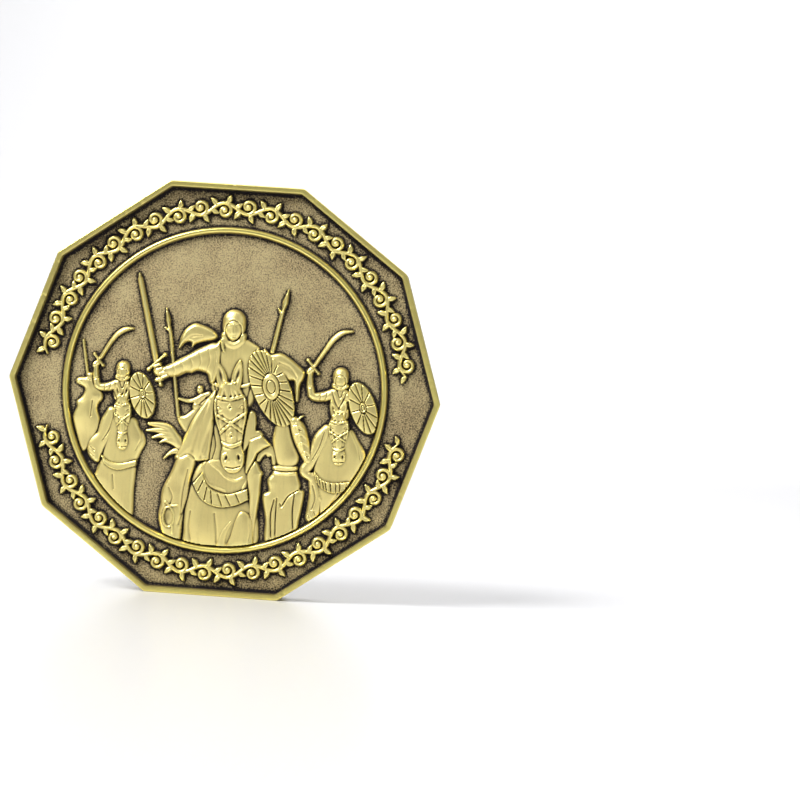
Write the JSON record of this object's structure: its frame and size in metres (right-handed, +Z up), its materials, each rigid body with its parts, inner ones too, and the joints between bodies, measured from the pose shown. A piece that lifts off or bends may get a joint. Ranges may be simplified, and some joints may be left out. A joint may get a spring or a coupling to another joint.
{
  "type": "challenge coin",
  "caption": "Ten-sided, two-sided struck brass coin with raised rims and round medallions, mounted riders on one face and a star in a wreath on the other.",
  "frame": {"origin": "middle of the flat edge that the coin stands on, half way through its thickness", "axes": "+Z up along the face, +Y out of the reverse face, -Y out of the obverse face, +X to the right when looking at the obverse"},
  "size_m": [0.05, 0.004, 0.0476],
  "materials": {
    "field_brass": "antiqued dark and sandblasted matt",
    "rim_brass": "antiqued, highlights polished bright",
    "relief_brass": "antiqued satin, dark in the hollows",
    "ornament_brass": "antiqued satin, dark in the hollows"
  },
  "bodies": {
    "root": {"coin_blank": "field_brass", "obverse_rim": "rim_brass", "reverse_rim": "rim_brass", "obverse_ring": "rim_brass", "reverse_ring": "rim_brass", "obverse_garland_upper": "ornament_brass", "obverse_garland_lower": "ornament_brass", "centre_shield": "relief_brass", "right_shield": "relief_brass", "left_shield": "relief_brass", "centre_horse_head": "relief_brass", "centre_breast_collar": "relief_brass", "centre_horse_forelegs": "relief_brass", "centre_horse_chest": "relief_brass", "centre_sword": "relief_brass", "centre_sword_arm": "relief_brass", "centre_rider": "relief_brass", "centre_rider_left_leg": "relief_brass", "centre_rider_right_leg": "relief_brass", "right_inner_horse_head": "relief_brass", "right_inner_horse": "relief_brass", "cloak_left": "relief_brass", "cloak_right": "relief_brass", "left_spear": "relief_brass", "right_spear": "relief_brass", "distant_rider": "relief_brass", "mane_strands": "relief_brass", "left_horse_head": "relief_brass", "left_breast_collar": "relief_brass", "left_horse_foreleg": "relief_brass", "left_horse_body": "relief_brass", "left_sabre": "relief_brass", "left_rider": "relief_brass", "left_spear_far": "relief_brass", "far_left_horse": "relief_brass", "right_horse_head": "relief_brass", "right_breast_collar": "relief_brass", "right_horse_foreleg": "relief_brass", "right_horse_body": "relief_brass", "right_sabre": "relief_brass", "right_rider": "relief_brass", "emblem_ribbon": "relief_brass", "emblem_star": "relief_brass", "emblem_wreath_left": "relief_brass", "emblem_wreath_right": "relief_brass", "emblem_plate": "relief_brass", "reverse_garland_top": "ornament_brass", "reverse_garland_bottom": "ornament_brass", "reverse_sprig_upper_right": "ornament_brass", "reverse_sprig_lower_right": "ornament_brass", "reverse_sprig_upper_left": "ornament_brass", "reverse_sprig_lower_left": "ornament_brass", "reverse_leaf_arc": "ornament_brass", "reverse_scroll_short": "ornament_brass", "reverse_scroll_long": "ornament_brass"}
  },
  "joints": []
}
